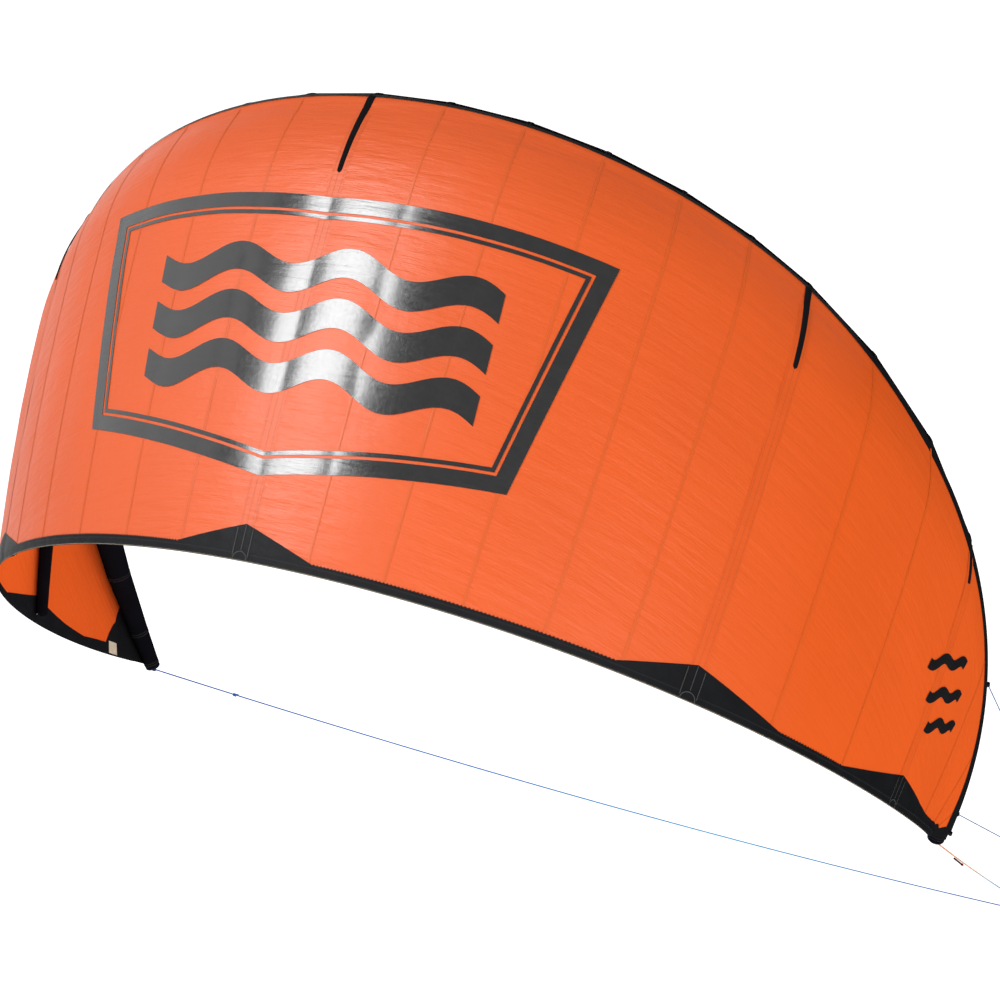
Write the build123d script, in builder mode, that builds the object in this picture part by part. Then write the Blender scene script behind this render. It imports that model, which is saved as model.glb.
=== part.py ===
"""Inflatable kitesurf kite: arched canopy on an inflated leading edge and five struts, with its lines.

+X runs along the span, +Y from the leading edge to the trailing edge, +Z is up. The origin is the
middle of the leading edge tube, at the centre strut. The tips hang below it, towards -Z.
A station is a share of the half span: 0 at the centre strut, 1 at the +X tip, -1 at the -X tip.
"""
from build123d import *
from math import acos, cos, degrees, hypot, pi, radians, sin, sqrt, tan
import os

# Leading edge: its half length seen from the front, how far it turns, and how it sweeps back
LE_HALF_ARC = 4560.0
LE_TURN = radians(106.2)
LE_BEND = 1.122
LE_SWEEP = 1619.0
LE_SWEEP_POWER = 2.09
LE_RADIUS = 94.0
LE_TIP_RADIUS = 41.0
LE_TAPER_POWER = 5

# Trailing edge: the same kind of arch, behind and a little below
TE_HALF_ARC = 4125.0
TE_TURN = radians(99.2)
TE_BEND = 1.152
TE_DROP = 173.0
CENTRE_CHORD = 1870.0
TE_SCALLOP = 206.0
TE_SCALLOP_POWER = 4.38
RIB_FAN = 0.866
RIB_FAN_POWER = 3.06

# Rib shape and cloth
CAMBER = 0.040
CAMBER_AT = 0.20
WRAP = 0.5
WRAP_MELT = 6.0
BILLOW = {"center": 14.0, "mid": 9.0, "tip": 3.5}
BILLOW_BIAS = 0.6
CLOTH = 1.2
HEM_WIDTH = 38.0
HEM_HALF_THICK = 1.5

# Where the struts and the panel seams stand along the half span
STRUT_1 = 0.402
STRUT_2 = 0.675
SEAMS = (0.0, 0.067, 0.137, 0.206, 0.275, 0.341, STRUT_1, 0.483, 0.574, STRUT_2, 0.785, 0.89, 0.96, 1.0)
BAYS = {"center": (0.0, STRUT_1), "mid": (STRUT_1, STRUT_2), "tip": (STRUT_2, 1.0)}
STRUTS = {"center": 0.0, "inner_left": STRUT_1, "inner_right": -STRUT_1,
          "outer_left": STRUT_2, "outer_right": -STRUT_2}
SIDES = {"left": 1, "right": -1}

# Tubes
SLEEVE_WALL = 1.5
BLADDER_WALL = 1.2
BLADDER_GAP = 1.0
STRUT_REAR_RADIUS = 28.0
STRUT_RADIUS_PER_CHORD = 0.016
STRUT_GAP = 2.0
STRUT_RING_CROWDING = 1.6
BLADDER_START = 2.3

# Reinforcements on the cloth
BATTEN_SHARE = {"center": 0.178, "inner": 0.192, "outer": 0.14}
BATTEN_FRONT = 0.9
BATTEN_WIDTH = 26.0
BATTEN_HEIGHT = 5.0
PATCH_LENGTH = 98.0
PATCH_SPANS = {"center": (0.070, 0.070), "inner": (0.066, 0.090), "outer": (0.100, 0.125)}
PATCH_THICK = 1.0

# Webbing loops
LOOP_BORE = 7.0
LOOP_WALL = 2.5
LOOP_WIDTH = 16.0
LOOP_STAND = 13.0
BRIDLE_STATIONS = (0.83, 0.972)
BRIDLE_LEAN = 0.9
BRIDLE_LEAN_REST = (-0.3, -0.3)
TIP_LOOP_STATION = 0.988
TIP_CAP_LENGTH = 14.0

# Valves on the front of the leading edge
INFLATE_BORE = 11.0
DEFLATE_BORE = 16.0
VALVE_STATION = 0.034
VALVE_LEAN = radians(40)
VALVE_FLANGE = 38.0
VALVE_FOOT = 8.0
NECK_WALL = 3.5
NECK_LENGTH = 30.0
CAP_THICK = 4.0
CAP_GAP = 0.6
EAR_THICK = 2.0
PIN_RADIUS = 1.5
PIN_CLEARANCE = 0.06
KNUCKLE_RADIUS = 3.4
KNUCKLE_LENGTH = 9.0

# Lines and the bridle's pulley
LINE_RADIUS = 2.0
STEERING_RADIUS = 2.5
SLEEVE_RADIUS = 4.5
EYE_RADIUS = 12.0
GROOVE_RADIUS = 2.5
SHEAVE_WRAP = 12.5
SHEAVE_RADIUS = 14.0
SHEAVE_WIDTH = 6.0
SHEAVE_PIN = 3.0
SHEAVE_CLEARANCE = 0.06
CHEEK_RADIUS = 16.0
CHEEK_THICK = 2.0
CHEEK_GAP = 0.5
BECKET_DISTANCE = 32.0
BECKET_RADIUS = 9.0
BECKET_BORE = 4.5

# Routes, held taut by the flyer: the steering lines from the tip rings to their end eyes, and the
# point where the two legs of the right front bridle would meet, below their pulley
LEFT_LINE = ((2229, 1634, -3259), (-120, 1477, -5207), (-2260, 1129, -6895))
RIGHT_LINE = ((-2229, 1634, -3259), (-2322, 1540, -4165), (-2416, 1418, -5077))
LEFT_KNOT = ((1862, 1609, -3563), (1846, 1608, -3577))
RIGHT_SLEEVE = ((-2271, 1592, -3722), (-2291, 1572, -3920))
BRIDLE_MEETING = (-2836, 1476, -4042)
BRIDLE_BOW = 5.0


# ---------------------------------------------------------------- shape of the wing
def arch_point(share, half_arc, turn, bend):
    """Front view x and z at a share of an arch that turns by turn over half_arc (Simpson's rule)."""
    steps = 24
    x = z = 0.0
    for index in range(steps + 1):
        place = share * index / steps
        weight = 1 if index in (0, steps) else 4 if index % 2 else 2
        slope = turn * (bend * place + (1 - bend) * place * place)
        x += weight * cos(slope)
        z -= weight * sin(slope)
    scale = half_arc * share / (3 * steps)
    return x * scale, z * scale


def side_of(station):
    """1 on the +X half, -1 on the -X half."""
    return -1 if station < 0 else 1


def leading_edge(station):
    """Centre of the leading edge tube."""
    share = abs(station)
    x, z = arch_point(share, LE_HALF_ARC, LE_TURN, LE_BEND)
    return Vector(side_of(station) * x, LE_SWEEP * share**LE_SWEEP_POWER, z)


def trailing_edge(station):
    """Trailing edge of the cloth, behind the same station; the ribs fan out towards the tip."""
    share = abs(station)
    share += RIB_FAN * share**RIB_FAN_POWER * (1 - share)
    x, z = arch_point(share, TE_HALF_ARC, TE_TURN, TE_BEND)
    y = CENTRE_CHORD - TE_SCALLOP * share**TE_SCALLOP_POWER
    return Vector(side_of(station) * x, y, z - TE_DROP)


def outward(station):
    """Unit vector out of the arch, square to the leading edge in the front view."""
    share = abs(station)
    slope = LE_TURN * (LE_BEND * share + (1 - LE_BEND) * share * share)
    return Vector(side_of(station) * sin(slope), 0, cos(slope))


def tube_radius(station):
    """Radius of the leading edge tube."""
    return LE_RADIUS - (LE_RADIUS - LE_TIP_RADIUS) * abs(station) ** LE_TAPER_POWER


def chord(station):
    """Length of the rib at a station."""
    return (trailing_edge(station) - leading_edge(station)).length


def rib_plane(station):
    """Plane of a rib: its origin on the tube's centre line, X along the chord, Y out of the arch."""
    along = (trailing_edge(station) - leading_edge(station)).normalized()
    out = outward(station)
    out = (out - along * out.dot(along)).normalized()
    return Plane(origin=leading_edge(station), x_dir=along, z_dir=along.cross(out))


def billow(station, share):
    """How far the cloth swells out between two struts."""
    place = abs(station)
    for bay, (first, last) in BAYS.items():
        if first <= place <= last and share > 0:
            across = sin(pi * (place - first) / (last - first))
            return BILLOW[bay] * across * sin(pi * share**BILLOW_BIAS)
    return 0.0


def rib_point(station, share):
    """Place of the cloth's underside along and over the chord line, and the lean of its normal.

    A negative share is the part that is wrapped forwards round the tube.
    """
    radius = tube_radius(station)
    length = chord(station)
    lean = max(0.0, -share * length / radius)
    along = share * length if share >= 0 else -radius * sin(lean)
    place = along / length
    rest = CAMBER_AT if place < CAMBER_AT else 1 - CAMBER_AT
    height = radius * (1 - place) + CAMBER * length * (1 - ((CAMBER_AT - place) / rest) ** 2)
    if along < 0.9 * radius:
        circle = sqrt(radius**2 - along**2)
        height = (height + circle + hypot(height - circle, WRAP_MELT)) / 2
    return along, height + billow(station, share), lean


def rib_height(station, share):
    """Height of the cloth's underside over the chord line behind the tube's centre."""
    return rib_point(station, share)[1]


def front_edge(station):
    """Share of the chord, below zero, where the cloth begins on the tube's front."""
    return -WRAP * tube_radius(station) / chord(station)


def rib_curve(station, start, end, lift, count=9):
    """Points of a rib's curve between two shares of the chord, raised by lift."""
    first = max(start, 0.0)
    shares = [first + (end - first) * index / (count - 1) for index in range(count)]
    if start < 0:
        shares = [start, start * 0.67, start * 0.33] + shares
        if shares[4] > -3 * start:
            shares[4:4] = [-start, -2.5 * start]
    points = [rib_point(station, share) for share in shares]
    return [(along - lift * sin(lean), height + lift * cos(lean)) for along, height, lean in points]


def hem_start(station):
    """Share of the chord where the hem begins."""
    return 1 - HEM_WIDTH / chord(station)


def between(first, last, count):
    """Evenly spaced stations from first to last."""
    return [first + (last - first) * index / (count - 1) for index in range(count)]


def signed(stations, side):
    """The same stations on one side of the kite."""
    return [side * station for station in stations]


# ---------------------------------------------------------------- cloth
def cloth_strip(stations, start, end, low, high, ruled=False):
    """Thin closed solid over the ribs; start and end give its shares of the chord at a station."""
    with BuildPart() as strip:
        for station in stations:
            with BuildSketch(rib_plane(station)):
                with BuildLine():
                    under = Spline(*rib_curve(station, start(station), end(station), low))
                    over = Spline(*rib_curve(station, start(station), end(station), high))
                    Line(under @ 0, over @ 0)
                    Line(under @ 1, over @ 1)
                make_face()
        loft(ruled=ruled)
    return strip


def canopy_bay(first, last):
    """One panel of the canopy between two struts, or between the last strut and the tip."""
    return cloth_strip(between(first, last, 7), front_edge, hem_start, 0.0, CLOTH)


def hem(side):
    """Doubled band along one half of the trailing edge, over and under the cloth's line."""
    stations = signed(between(0.0, 1.0, 15), side)
    middle = CLOTH / 2
    return cloth_strip(stations, hem_start, lambda station: 1.0, middle - HEM_HALF_THICK,
                       middle + HEM_HALF_THICK)


def strut_patch(middle, spans):
    """Triangular reinforcement on the cloth at a strut's end, its base along the hem.

    spans holds how far it reaches towards the centre and towards the tip.
    """
    side = side_of(middle)
    inner, outer = spans
    stations = between(middle - side * inner, middle, 9) + between(middle, middle + side * outer, 9)[1:]

    def front(station):
        offset = side * (station - middle)
        reach = 4.0 + PATCH_LENGTH * (1 - abs(offset) / (outer if offset > 0 else inner))
        return hem_start(station) - reach / chord(station)

    low = CLOTH + 0.4
    return cloth_strip(stations, front, hem_start, low, low + PATCH_THICK, ruled=True)


def batten(station, end):
    """Raised sleeve with a stiff batten inside, from the leading edge back over a strut."""
    low = CLOTH + 0.4
    start = BATTEN_FRONT * front_edge(station)
    with BuildPart() as sleeve:
        with BuildSketch(rib_plane(station)):
            with BuildLine():
                under = Spline(*rib_curve(station, start, end, low))
                over = Spline(*rib_curve(station, start, end, low + BATTEN_HEIGHT))
                Line(under @ 0, over @ 0)
                Line(under @ 1, over @ 1)
            make_face()
        extrude(amount=BATTEN_WIDTH / 2, both=True)
        along = rib_plane(station).x_dir
        tail = sleeve.edges().filter_by(lambda edge: edge.length < BATTEN_HEIGHT * 1.2)
        tail = sorted(tail, key=lambda edge: edge.center().dot(along))[-2:]
        fillet(tail, radius=BATTEN_WIDTH * 0.45)
    return sleeve


# ---------------------------------------------------------------- inflated tubes
def tube_plane(station):
    """Plane square to the leading edge tube."""
    step = 0.0005
    ahead = leading_edge(station + step) if station + step <= 1 else leading_edge(station)
    behind = leading_edge(station - step) if station - step >= -1 else leading_edge(station)
    return Plane(origin=leading_edge(station), x_dir=outward(station), z_dir=ahead - behind)


def tube_rings(stations, shrink):
    """Circles around the leading edge's centre line, as a loft's sections."""
    rings = []
    for station in stations:
        with BuildSketch(tube_plane(station)) as ring:
            Circle(tube_radius(station) - shrink)
        rings.append(ring.sketch)
    return rings


def seam_stations(first, last):
    """The leading edge's seams from first to last."""
    return [seam for seam in SEAMS if first <= seam <= last]


def sleeve_segment(first, last, side):
    """Leading edge sleeve along one bay: straight cones that meet at the seams."""
    stations = signed(seam_stations(first, last), side)
    with BuildPart() as sleeve:
        loft(tube_rings(stations, 0.0), ruled=True)
        loft(tube_rings(stations, SLEEVE_WALL), ruled=True, mode=Mode.SUBTRACT)
    return sleeve


def leading_bladder():
    """Airtight bladder along the whole leading edge, sealed at both tips."""
    half = [seam for seam in SEAMS if seam <= 0.96]
    stations = signed(half[:0:-1], -1) + half
    skin = SLEEVE_WALL + BLADDER_GAP
    with BuildPart() as bladder:
        loft(tube_rings(stations, skin), ruled=True)
        inside = [-0.955] + stations[1:-1] + [0.955]
        loft(tube_rings(inside, skin + BLADDER_WALL), ruled=True, mode=Mode.SUBTRACT)
    return bladder


def leading_edge_neighbours(station):
    """Seams on both sides of a station, to cut a neighbour to the tube's shape."""
    seams = sorted(set(SEAMS) | {-seam for seam in SEAMS})
    low = max(seam for seam in seams if seam < station - 1e-6)
    high = min(seam for seam in seams if seam > station + 1e-6)
    return [low] + [seam for seam in seams if low < seam < high] + [high]


def tip_cap(side):
    """End cap of the leading edge tube."""
    plane = tube_plane(side * 1.0)
    with BuildPart() as cap:
        with BuildSketch(plane):
            Circle(LE_TIP_RADIUS)
        extrude(amount=side * TIP_CAP_LENGTH)
        away = plane.z_dir * side
        rim = sorted(cap.edges(), key=lambda edge: edge.center().dot(away))[-1]
        fillet(rim, radius=TIP_CAP_LENGTH * 0.7)
    return cap


def strut_front_radius(station):
    """Radius of a strut where it leaves the leading edge."""
    return STRUT_REAR_RADIUS + STRUT_RADIUS_PER_CHORD * chord(station)


def strut_rings(station, start, end, shrink, count=13):
    """Circles around a strut's centre line, which follows the rib just under the cloth."""
    rings = []
    plane = rib_plane(station)
    front = strut_front_radius(station)

    def centre(share):
        radius = front + (STRUT_REAR_RADIUS - front) * share
        height = rib_height(station, share) - radius - STRUT_GAP
        return Vector(share * chord(station), height, 0), radius

    for place in between(0.0, 1.0, count):
        share = start + (end - start) * place**STRUT_RING_CROWDING
        here, radius = centre(share)
        ahead, _ = centre(share + 0.01)
        direction = plane.from_local_coords(ahead) - plane.from_local_coords(here)
        across = Plane(origin=plane.from_local_coords(here), x_dir=plane.z_dir, z_dir=direction)
        with BuildSketch(across) as ring:
            Circle(radius - shrink)
        rings.append(ring.sketch)
    return rings


def strut_start(station, reach):
    """Share of the chord at a number of tube radii behind the leading edge's centre line."""
    return reach * tube_radius(station) / chord(station)


def strut_sleeve(station):
    """Strut sleeve, open to the leading edge tube in front and closed at the trailing edge."""
    start = strut_start(station, 0.5)
    end = hem_start(station)
    with BuildPart() as sleeve:
        loft(strut_rings(station, start, end, 0.0))
        inner_end = end - SLEEVE_WALL / chord(station)
        loft(strut_rings(station, start, inner_end, SLEEVE_WALL), mode=Mode.SUBTRACT)
        loft(tube_rings(leading_edge_neighbours(station), -0.1), ruled=True, mode=Mode.SUBTRACT)
    return sleeve


def strut_bladder(station):
    """Airtight bladder inside a strut."""
    start = strut_start(station, BLADDER_START)
    end = hem_start(station) - 12.0 / chord(station)
    wall = BLADDER_WALL / chord(station)
    skin = SLEEVE_WALL + BLADDER_GAP
    with BuildPart() as bladder:
        loft(strut_rings(station, start, end, skin))
        loft(strut_rings(station, start + wall, end - wall, skin + BLADDER_WALL), mode=Mode.SUBTRACT)
    return bladder


# ---------------------------------------------------------------- webbing loops
def loop_plane(station, lean):
    """Plane across the tube with X pointing out of it towards lean; the loop's bore runs along its Z."""
    plane = tube_plane(station)
    axis = plane.z_dir
    out = (lean - axis * lean.dot(axis)).normalized()
    return Plane(origin=plane.origin, x_dir=out, z_dir=axis)


def loop_centre(station, lean):
    """Middle of a loop's bore."""
    plane = loop_plane(station, lean)
    return plane.origin + plane.x_dir * (tube_radius(station) + LOOP_STAND)


def webbing_loop(station, lean):
    """Stiff webbing loop sewn on the leading edge tube, its foot cut to the tube."""
    stand = tube_radius(station) + LOOP_STAND
    outside = LOOP_BORE + LOOP_WALL
    with BuildPart() as loop:
        with BuildSketch(loop_plane(station, lean)):
            with Locations((stand, 0)):
                Circle(outside)
            with Locations((stand - LOOP_STAND, 0)):
                Rectangle(2 * LOOP_STAND, 2 * outside)
            with Locations((stand, 0)):
                Circle(LOOP_BORE, mode=Mode.SUBTRACT)
        extrude(amount=LOOP_WIDTH / 2, both=True)
        loft(tube_rings(leading_edge_neighbours(station), -0.1), ruled=True, mode=Mode.SUBTRACT)
    return loop


def tip_ring(side):
    """Webbing ring that stands on the tip cap, for a steering line."""
    plane = tube_plane(side * 1.0)
    along = plane.z_dir * side
    with BuildPart() as ring:
        with BuildSketch(Plane(origin=plane.origin + along * TIP_CAP_LENGTH, x_dir=along, z_dir=plane.x_dir)):
            with Locations((LOOP_STAND, 0)):
                Circle(LOOP_BORE + LOOP_WALL)
            with Locations((LOOP_STAND / 2, 0)):
                Rectangle(LOOP_STAND, 2 * (LOOP_BORE + LOOP_WALL))
            with Locations((LOOP_STAND, 0)):
                Circle(LOOP_BORE, mode=Mode.SUBTRACT)
        extrude(amount=LOOP_WIDTH / 2, both=True)
    return ring


# ---------------------------------------------------------------- valves
def valve_plane(station):
    """Plane of a valve: Z forward and down out of the tube, X along the span."""
    away = (0, -cos(VALVE_LEAN), -sin(VALVE_LEAN))
    return Plane(origin=leading_edge(station), x_dir=(1, 0, 0), z_dir=away)


def valve_sizes(bore):
    """Mouth distance from the tube's centre line, cap radius, and the hinge pin's height and distance."""
    mouth = LE_RADIUS + NECK_LENGTH
    cap_radius = bore + NECK_WALL + 1
    return mouth, cap_radius, cap_radius + KNUCKLE_RADIUS + CAP_GAP, mouth + CAP_GAP + CAP_THICK / 2


def valve_body(station, bore):
    """Valve flange shaped to the tube, its neck, and two ears with the cap's hinge pin."""
    plane = valve_plane(station)
    mouth, cap_radius, hinge_y, hinge_z = valve_sizes(bore)
    ear_x = KNUCKLE_LENGTH / 2 + CAP_GAP + EAR_THICK / 2
    ear_low = cap_radius + CAP_GAP
    ear_high = hinge_y + KNUCKLE_RADIUS
    with BuildPart() as body:
        with BuildSketch(plane.offset(LE_RADIUS - 12)):
            Circle(VALVE_FLANGE)
        extrude(amount=12 + VALVE_FOOT / 2)
        with BuildSketch(plane.offset(LE_RADIUS)):
            Circle(bore + NECK_WALL)
        extrude(amount=NECK_LENGTH)
        with BuildSketch(plane.offset(mouth)):
            Circle(bore)
        extrude(amount=-(NECK_LENGTH - VALVE_FOOT), mode=Mode.SUBTRACT)
        for x in (-ear_x, ear_x):
            with BuildSketch(plane.offset(mouth - 14)):
                with Locations((x, (bore + ear_high) / 2 + NECK_WALL / 2)):
                    Rectangle(EAR_THICK, ear_high - bore - NECK_WALL)
            extrude(amount=8)
            with BuildSketch(plane.offset(mouth - 14)):
                with Locations((x, (ear_low + ear_high) / 2)):
                    Rectangle(EAR_THICK, ear_high - ear_low)
            extrude(amount=14 + hinge_z - mouth + KNUCKLE_RADIUS)
        pin_centre = plane.from_local_coords((-ear_x, hinge_y, hinge_z))
        with BuildSketch(Plane(origin=pin_centre, x_dir=(0, 0, 1), z_dir=(1, 0, 0))):
            Circle(PIN_RADIUS)
        extrude(amount=2 * ear_x)
        loft(tube_rings(leading_edge_neighbours(station), -0.1), ruled=True, mode=Mode.SUBTRACT)
    return body


def valve_cap(station, bore):
    """Flat cap over a valve's mouth, with the knuckle that turns on the hinge pin."""
    plane = valve_plane(station)
    mouth, cap_radius, hinge_y, hinge_z = valve_sizes(bore)
    with BuildPart() as cap:
        with BuildSketch(plane.offset(mouth + CAP_GAP)):
            Circle(cap_radius)
            with Locations((0, hinge_y / 2)):
                Rectangle(KNUCKLE_LENGTH, hinge_y)
            with Locations((0, -cap_radius)):
                Circle(4)
        extrude(amount=CAP_THICK)
        knuckle_end = plane.from_local_coords((-KNUCKLE_LENGTH / 2, hinge_y, hinge_z))
        knuckle_plane = Plane(origin=knuckle_end, x_dir=(0, 0, 1), z_dir=(1, 0, 0))
        with BuildSketch(knuckle_plane):
            Circle(KNUCKLE_RADIUS)
        extrude(amount=KNUCKLE_LENGTH)
        with BuildSketch(knuckle_plane):
            Circle(PIN_RADIUS + PIN_CLEARANCE)
        extrude(amount=KNUCKLE_LENGTH, mode=Mode.SUBTRACT)
    return cap


# ---------------------------------------------------------------- lines
def corner_radii(route):
    """Radius of the tangent arc at each corner of a route."""
    radii = []
    for before, here, after in zip(route, route[1:], route[2:]):
        run_in, run_out = here - before, after - here
        turn = radians(run_in.get_angle(run_out))
        radii.append(0.45 * min(run_in.length, run_out.length) / tan(turn / 2))
    return radii


def cord(points, radius=LINE_RADIUS):
    """Plain round line along a route."""
    route = [Vector(*point) for point in points]
    with BuildPart() as line:
        with BuildLine():
            FilletPolyline(*route, radius=corner_radii(route))
        with BuildSketch(Plane(origin=route[0], z_dir=route[1] - route[0])):
            Circle(radius)
        sweep()
    return line


def bridle_end(index):
    """Where a leg of the right front bridle starts, in its loop."""
    return loop_centre(-BRIDLE_STATIONS[index], Vector(-BRIDLE_LEAN, *BRIDLE_LEAN_REST))


def pulley_plane():
    """Plane of the bridle's pulley, X up between the legs, and half the angle between them."""
    meeting = Vector(*BRIDLE_MEETING)
    front = (bridle_end(0) - meeting).normalized()
    rear = (bridle_end(1) - meeting).normalized()
    half_angle = acos(front.dot(rear)) / 2
    up = (front + rear).normalized()
    centre = meeting + up * (SHEAVE_WRAP / sin(half_angle))
    return Plane(origin=centre, x_dir=up, z_dir=front.cross(rear)), half_angle


def bridle_leg(index):
    """Leg of the bridle from its loop to the pulley's sheave."""
    meeting = Vector(*BRIDLE_MEETING)
    _, half_angle = pulley_plane()
    start = bridle_end(index)
    end = meeting + (start - meeting).normalized() * (SHEAVE_WRAP / tan(half_angle))
    middle = (start + end) * 0.5 + Vector(0, BRIDLE_BOW, 0)
    return cord((tuple(start), tuple(middle), tuple(end)))


def bridle_bight():
    """The bridle's turn under the sheave, joining its two legs."""
    plane, half_angle = pulley_plane()
    start_angle = 90 + degrees(half_angle)
    with BuildPart() as bight:
        with BuildLine(plane) as path:
            CenterArc((0, 0), SHEAVE_WRAP, start_angle, 180 - 2 * degrees(half_angle))
        with BuildSketch(Plane(origin=path.line @ 0, z_dir=path.line % 0)):
            Circle(LINE_RADIUS)
        sweep()
    return bight


def sheave():
    """Grooved wheel of the pulley."""
    plane, _ = pulley_plane()
    with BuildPart() as wheel:
        with BuildSketch(plane):
            Circle(SHEAVE_RADIUS)
            Circle(SHEAVE_PIN + SHEAVE_CLEARANCE, mode=Mode.SUBTRACT)
        extrude(amount=SHEAVE_WIDTH / 2, both=True)
        with BuildSketch(Plane(origin=plane.origin, x_dir=plane.x_dir, z_dir=plane.y_dir)):
            with Locations((SHEAVE_WRAP, 0)):
                Circle(GROOVE_RADIUS)
        revolve(axis=Axis(plane.origin, plane.z_dir), mode=Mode.SUBTRACT)
    return wheel


def pulley_housing():
    """Two cheeks joined by the sheave's pin and by the becket, which has the front line's eye."""
    plane, _ = pulley_plane()
    inner = SHEAVE_WIDTH / 2 + CHEEK_GAP
    with BuildPart() as housing:
        for face in (-inner - CHEEK_THICK, inner):
            with BuildSketch(plane.offset(face)):
                Circle(CHEEK_RADIUS)
                with Locations((-BECKET_DISTANCE, 0)):
                    Circle(BECKET_RADIUS)
                with Locations((-BECKET_DISTANCE / 2, 0)):
                    Rectangle(BECKET_DISTANCE, 2 * BECKET_RADIUS)
            extrude(amount=CHEEK_THICK)
        with BuildSketch(plane):
            Circle(SHEAVE_PIN)
            with Locations((-BECKET_DISTANCE, 0)):
                Circle(BECKET_RADIUS)
        extrude(amount=inner + CHEEK_THICK / 2, both=True)
        with BuildSketch(plane):
            with Locations((-BECKET_DISTANCE, 0)):
                Circle(BECKET_BORE)
        extrude(amount=2 * inner + CHEEK_THICK, both=True, mode=Mode.SUBTRACT)
    return housing


def line_eye(points):
    """Stitched eye at the far end of a steering line."""
    end, before = Vector(*points[-1]), Vector(*points[-2])
    away = (end - before).normalized()
    middle = end + away * (EYE_RADIUS + STEERING_RADIUS)
    ring = Plane(origin=middle, x_dir=away, z_dir=away.cross(Vector(0, 0, 1)))
    with BuildPart() as eye:
        with BuildSketch(Plane(origin=ring.origin, x_dir=ring.x_dir, z_dir=ring.y_dir)):
            with Locations((EYE_RADIUS, 0)):
                Circle(STEERING_RADIUS)
        revolve(axis=Axis(ring.origin, ring.z_dir))
        with BuildSketch(Plane(origin=end - away * EYE_RADIUS, z_dir=away)):
            Circle(STEERING_RADIUS * 1.6)
        extrude(amount=EYE_RADIUS + STEERING_RADIUS)
    return eye


def line_sleeve(start, end, radius):
    """Short round sleeve or knot on a line, its ends rounded."""
    first, last = Vector(*start), Vector(*end)
    with BuildPart() as sleeve:
        with BuildSketch(Plane(origin=first, z_dir=last - first)):
            Circle(radius)
        extrude(amount=(last - first).length)
        fillet(sleeve.edges().filter_by(GeomType.CIRCLE), radius=radius * 0.5)
    return sleeve


# ---------------------------------------------------------------- build
def save(name, builder):
    """Label a piece and write it as its own STEP file."""
    builder.part.label = name
    export_step(builder.part, f"parts/{name}.step")


def build_cloth():
    """Canopy bays, hems, patches and battens."""
    for side_name, side in SIDES.items():
        for bay_name, (first, last) in BAYS.items():
            save(f"canopy_{bay_name}_{side_name}", canopy_bay(side * first, side * last))
        save(f"trailing_hem_{side_name}", hem(side))
    for strut_name, station in STRUTS.items():
        kind = strut_name.split("_")[0]
        save(f"strut_patch_{strut_name}", strut_patch(station, PATCH_SPANS[kind]))
        save(f"batten_sleeve_{strut_name}", batten(station, BATTEN_SHARE[kind]))


def build_tubes():
    """Inflated tubes and their bladders."""
    for side_name, side in SIDES.items():
        for bay_name, (first, last) in BAYS.items():
            save(f"leading_sleeve_{bay_name}_{side_name}", sleeve_segment(first, last, side))
        save(f"tip_cap_{side_name}", tip_cap(side))
    save("leading_bladder", leading_bladder())
    for strut_name, station in STRUTS.items():
        save(f"strut_sleeve_{strut_name}", strut_sleeve(station))
        save(f"strut_bladder_{strut_name}", strut_bladder(station))


def build_fittings():
    """Webbing loops and valves."""
    for side_name, side in SIDES.items():
        lean = Vector(side * BRIDLE_LEAN, *BRIDLE_LEAN_REST)
        for place, station in zip(("front", "rear"), BRIDLE_STATIONS):
            save(f"bridle_loop_{place}_{side_name}", webbing_loop(side * station, lean))
        save(f"steering_loop_{side_name}", webbing_loop(side * TIP_LOOP_STATION, Vector(side, 0.4, 0)))
        save(f"steering_ring_{side_name}", tip_ring(side))
    save("inflate_valve_body", valve_body(VALVE_STATION, INFLATE_BORE))
    save("inflate_valve_cap", valve_cap(VALVE_STATION, INFLATE_BORE))
    save("deflate_valve_body", valve_body(-VALVE_STATION, DEFLATE_BORE))
    save("deflate_valve_cap", valve_cap(-VALVE_STATION, DEFLATE_BORE))


def build_lines():
    """Steering lines and the right front bridle with its pulley."""
    save("steering_line_left", cord(LEFT_LINE, STEERING_RADIUS))
    save("steering_line_right", cord(RIGHT_LINE, STEERING_RADIUS))
    save("line_eye_left", line_eye(LEFT_LINE))
    save("line_eye_right", line_eye(RIGHT_LINE))
    save("line_knot_left", line_sleeve(*LEFT_KNOT, 2 * SLEEVE_RADIUS))
    save("line_sleeve_right", line_sleeve(*RIGHT_SLEEVE, SLEEVE_RADIUS))
    save("bridle_leg_front", bridle_leg(0))
    save("bridle_leg_rear", bridle_leg(1))
    save("bridle_bight", bridle_bight())
    save("pulley_housing", pulley_housing())
    save("pulley_sheave", sheave())


os.makedirs("parts", exist_ok=True)
build_cloth()
build_tubes()
build_fittings()
build_lines()
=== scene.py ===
"""Looks of the inflatable kitesurf kite, in metres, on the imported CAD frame.

The wing's shape is the one the CAD is made from: a station is a share of the half span (0 at the centre
strut, 1 at the +X tip, -1 at the -X tip) and a share runs along the rib, 0 at the leading edge tube and 1
at the trailing edge.
"""
import math
from functools import lru_cache

import bpy
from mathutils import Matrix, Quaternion, Vector, noise


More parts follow.
